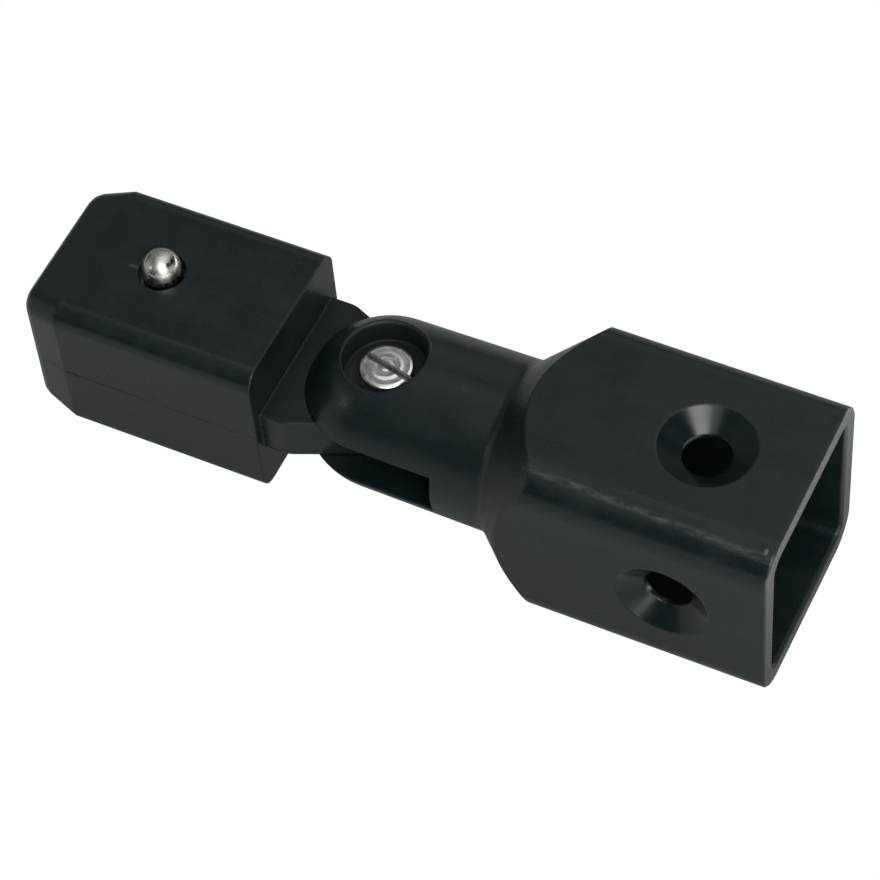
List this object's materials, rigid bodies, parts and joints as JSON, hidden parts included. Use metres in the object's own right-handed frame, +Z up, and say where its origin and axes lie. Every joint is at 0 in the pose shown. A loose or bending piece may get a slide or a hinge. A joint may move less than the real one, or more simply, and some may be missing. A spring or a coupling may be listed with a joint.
{
  "type": "profile pivot joint",
  "caption": "Pivot joint for square tube: a square socket with a ball-nosed fork, and a square plug with a spring button on a flat tongue that swings on a slotted screw.",
  "frame": {"origin": "centre of the socket's mouth, on the axis of the square profile", "axes": "+X out of the socket's mouth along the profile's axis, +Z up along the hinge screw towards its slotted head, the plug reaches back along -X"},
  "size_m": [0.0912, 0.025, 0.0256],
  "materials": {
    "black_nylon": "satin moulded, glass filled",
    "zinc_steel": "turned and zinc plated",
    "polished_steel": "polished",
    "spring_steel": "drawn wire"
  },
  "bodies": {
    "socket": {"socket_fork": "black_nylon", "pivot_screw": "zinc_steel", "nut_washer": "zinc_steel", "pivot_nut": "zinc_steel"},
    "plug": {"tongue_plug": "black_nylon", "detent_spring": "spring_steel", "spring_cap": "black_nylon"},
    "button": {"detent_pin": "polished_steel"}
  },
  "joints": [
    {"name": "pivot", "type": "hinge", "parent": "socket", "child": "plug", "pos_m": [-0.05, 0, 0], "axis": [0, 0, 1], "range_deg": [-90, 90]},
    {"name": "button_press", "type": "slide", "parent": "plug", "child": "button", "axis": [0, 0, -1], "range_m": [0, 0.00285], "stiffness_N_per_m": 900, "springref_m": -0.003, "deforming": ["detent_spring"]}
  ]
}
